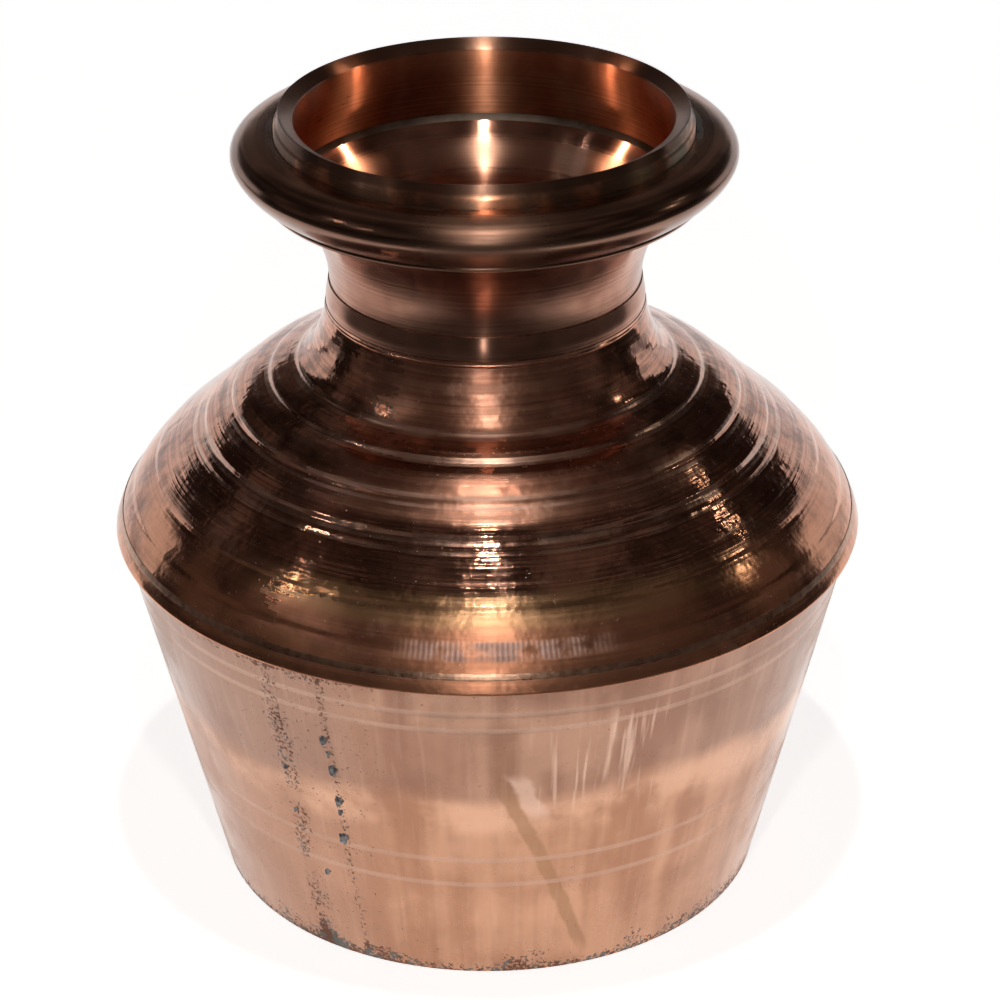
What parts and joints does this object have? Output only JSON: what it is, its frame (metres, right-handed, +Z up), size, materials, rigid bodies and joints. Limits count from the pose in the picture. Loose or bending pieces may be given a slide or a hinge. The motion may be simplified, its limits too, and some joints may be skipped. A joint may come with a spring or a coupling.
{
  "type": "water pot",
  "caption": "Round sheet-copper water pot with a conical foot, turned sloping shoulder, collared flaring neck, hollow drooping rim and stepped lip; stands on a flat base.",
  "frame": {"origin": "centre of the underside, on the floor", "axes": "+Z up along the pot's axis, -Y towards the front, the side seam at the front left"},
  "size_m": [0.2647, 0.2648, 0.2852],
  "materials": {
    "copper_wall": "wiped, pale pink copper with vertical streaks",
    "copper_shoulder": "burnished copper with fine turning lines",
    "copper_neck": "satin burnished copper",
    "copper_rim": "burnished brown copper",
    "copper_mouth": "turned red copper, verdigris in the crevice",
    "braze": "filed brazing brass",
    "solder": "dull grey tin solder"
  },
  "bodies": {
    "root": {"base_plate": "copper_wall", "base_joint_solder": "solder", "base_wall": "copper_wall", "side_seam_braze": "braze", "seam_solder_dabs": "solder", "waist_joint_braze": "braze", "shoulder_shell": "copper_shoulder", "neck_joint_braze": "braze", "neck_collar": "copper_neck", "neck_funnel": "copper_neck", "rim_joint_solder": "solder", "mouth_sleeve": "copper_mouth", "lip_joint_solder": "solder", "rim_flange": "copper_rim"}
  },
  "joints": []
}
